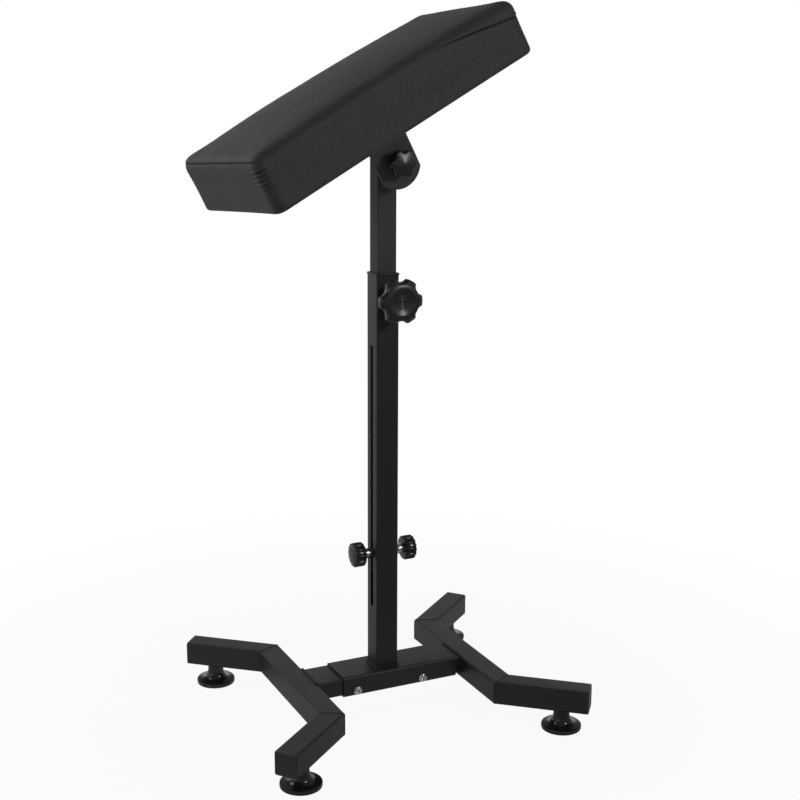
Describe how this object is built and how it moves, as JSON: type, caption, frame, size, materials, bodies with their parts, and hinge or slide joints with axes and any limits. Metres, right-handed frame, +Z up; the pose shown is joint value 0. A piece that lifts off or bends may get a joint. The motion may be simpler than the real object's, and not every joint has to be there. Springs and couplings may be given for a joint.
{
  "type": "tattoo arm rest stand",
  "caption": "Padded arm rest on a square telescopic post with a tilt joint, hand-knob clamps and a splayed steel base on levelling feet.",
  "frame": {"origin": "on the floor, under the axis of the square column", "axes": "+X along the base sleeve from the left leg to the right leg, -Y towards the side with the height knob, +Z up"},
  "size_m": [0.4402, 0.3812, 0.8889],
  "materials": {
    "powder_coat": "satin",
    "weld": "satin",
    "zinc_plate": "satin",
    "moulded_plastic": "satin",
    "glossy_plastic": "gloss",
    "brass_insert": "satin",
    "leatherette": "satin",
    "plywood": "matte",
    "dust_cloth": "matte"
  },
  "bodies": {
    "base": {"left_leg_middle": "powder_coat", "right_leg_middle": "powder_coat", "left_leg_front_arm": "powder_coat", "left_leg_front_end_cap": "moulded_plastic", "left_leg_rear_arm": "powder_coat", "left_leg_rear_end_cap": "moulded_plastic", "right_leg_front_arm": "powder_coat", "right_leg_front_end_cap": "moulded_plastic", "right_leg_rear_arm": "powder_coat", "right_leg_rear_end_cap": "moulded_plastic", "foot_nuts": "zinc_plate", "sleeve": "powder_coat", "left_stub": "powder_coat", "right_stub": "powder_coat", "sleeve_bolts": "zinc_plate", "stub_welds": "weld", "outer_column": "powder_coat", "column_weld": "weld", "guide_bush": "moulded_plastic", "height_nut": "zinc_plate"},
    "mast": {"mast": "powder_coat", "mast_guide": "moulded_plastic", "mast_cap": "moulded_plastic", "clamp_bolt": "zinc_plate", "pivot_boss": "powder_coat", "tilt_bolt": "zinc_plate", "tilt_washer": "zinc_plate"},
    "tilt_head": {"tilt_bracket": "powder_coat", "pad_board": "plywood", "dust_cover": "dust_cloth", "pad_cushion": "leatherette", "pad_screws": "zinc_plate", "pad_washers": "zinc_plate", "tee_nuts": "zinc_plate"},
    "height_screw": {"height_screw": "zinc_plate"},
    "height_knob": {"height_knob": "moulded_plastic"},
    "tilt_insert": {"tilt_knob_insert": "brass_insert"},
    "tilt_knob": {"tilt_knob": "moulded_plastic"},
    "left_ferrule": {"left_clamp_ferrule": "zinc_plate"},
    "left_clamp_knob": {"left_clamp_knob": "glossy_plastic"},
    "right_ferrule": {"right_clamp_ferrule": "zinc_plate"},
    "right_clamp_knob": {"right_clamp_knob": "glossy_plastic"},
    "left_leg_front_foot_screw": {"left_leg_front_foot_screw": "zinc_plate"},
    "left_leg_front_foot": {"left_leg_front_foot": "glossy_plastic"},
    "left_leg_rear_foot_screw": {"left_leg_rear_foot_screw": "zinc_plate"},
    "left_leg_rear_foot": {"left_leg_rear_foot": "glossy_plastic"},
    "right_leg_front_foot_screw": {"right_leg_front_foot_screw": "zinc_plate"},
    "right_leg_front_foot": {"right_leg_front_foot": "glossy_plastic"},
    "right_leg_rear_foot_screw": {"right_leg_rear_foot_screw": "zinc_plate"},
    "right_leg_rear_foot": {"right_leg_rear_foot": "glossy_plastic"}
  },
  "joints": [
    {"name": "mast_height", "type": "slide", "parent": "base", "child": "mast", "axis": [0, 0, 1], "range_m": [-0.069, 0.265]},
    {"name": "pad_tilt", "type": "hinge", "parent": "mast", "child": "tilt_head", "pos_m": [0, 0, 0.703], "axis": [0, -1, 0], "range_deg": [-72.3, 17.7]},
    {"name": "height_knob_travel", "type": "slide", "parent": "base", "child": "height_screw", "axis": [0, -1, 0], "range_m": [0, 0.00385]},
    {"name": "height_knob_turn", "type": "hinge", "parent": "height_screw", "child": "height_knob", "pos_m": [0, -0.04, 0.5405], "axis": [0, -1, 0], "range_deg": [0, 900]},
    {"name": "tilt_knob_travel", "type": "slide", "parent": "mast", "child": "tilt_insert", "axis": [0, -1, 0], "range_m": [0, 0.0031]},
    {"name": "tilt_knob_turn", "type": "hinge", "parent": "tilt_insert", "child": "tilt_knob", "pos_m": [0, -0.05, 0.703], "axis": [0, -1, 0], "range_deg": [0, 720]},
    {"name": "left_clamp_knob_travel", "type": "slide", "parent": "mast", "child": "left_ferrule", "axis": [-1, 0, 0], "range_m": [0, 0.0021]},
    {"name": "left_clamp_knob_turn", "type": "hinge", "parent": "left_ferrule", "child": "left_clamp_knob", "pos_m": [-0.035, 0, 0.211], "axis": [-1, 0, 0], "range_deg": [0, 720]},
    {"name": "right_clamp_knob_travel", "type": "slide", "parent": "mast", "child": "right_ferrule", "axis": [1, 0, 0], "range_m": [0, 0.0021]},
    {"name": "right_clamp_knob_turn", "type": "hinge", "parent": "right_ferrule", "child": "right_clamp_knob", "pos_m": [0.035, 0, 0.211], "axis": [1, 0, 0], "range_deg": [0, 720]},
    {"name": "left_leg_front_foot_travel", "type": "slide", "parent": "base", "child": "left_leg_front_foot_screw", "axis": [0, 0, -1], "range_m": [0, 0.0076]},
    {"name": "left_leg_front_foot_turn", "type": "hinge", "parent": "left_leg_front_foot_screw", "child": "left_leg_front_foot", "pos_m": [-0.17679, -0.15675, 0.013], "axis": [0, 0, -1], "range_deg": [0, 2160]},
    {"name": "left_leg_rear_foot_travel", "type": "slide", "parent": "base", "child": "left_leg_rear_foot_screw", "axis": [0, 0, -1], "range_m": [0, 0.0076]},
    {"name": "left_leg_rear_foot_turn", "type": "hinge", "parent": "left_leg_rear_foot_screw", "child": "left_leg_rear_foot", "pos_m": [-0.17679, 0.15675, 0.013], "axis": [0, 0, -1], "range_deg": [0, 2160]},
    {"name": "right_leg_front_foot_travel", "type": "slide", "parent": "base", "child": "right_leg_front_foot_screw", "axis": [0, 0, -1], "range_m": [0, 0.0076]},
    {"name": "right_leg_front_foot_turn", "type": "hinge", "parent": "right_leg_front_foot_screw", "child": "right_leg_front_foot", "pos_m": [0.17679, -0.15675, 0.013], "axis": [0, 0, -1], "range_deg": [0, 2160]},
    {"name": "right_leg_rear_foot_travel", "type": "slide", "parent": "base", "child": "right_leg_rear_foot_screw", "axis": [0, 0, -1], "range_m": [0, 0.0076]},
    {"name": "right_leg_rear_foot_turn", "type": "hinge", "parent": "right_leg_rear_foot_screw", "child": "right_leg_rear_foot", "pos_m": [0.17679, 0.15675, 0.013], "axis": [0, 0, -1], "range_deg": [0, 2160]}
  ],
  "couplings": [
    {"joint": "height_knob_travel", "follows": "height_knob_turn", "m_per_rad": 0.00023873},
    {"joint": "tilt_knob_travel", "follows": "tilt_knob_turn", "m_per_rad": 0.00023873},
    {"joint": "left_clamp_knob_travel", "follows": "left_clamp_knob_turn", "m_per_rad": 0.00015915},
    {"joint": "right_clamp_knob_travel", "follows": "right_clamp_knob_turn", "m_per_rad": 0.00015915},
    {"joint": "left_leg_front_foot_travel", "follows": "left_leg_front_foot_turn", "m_per_rad": 0.00019894},
    {"joint": "left_leg_rear_foot_travel", "follows": "left_leg_rear_foot_turn", "m_per_rad": 0.00019894},
    {"joint": "right_leg_front_foot_travel", "follows": "right_leg_front_foot_turn", "m_per_rad": 0.00019894},
    {"joint": "right_leg_rear_foot_travel", "follows": "right_leg_rear_foot_turn", "m_per_rad": 0.00019894}
  ]
}
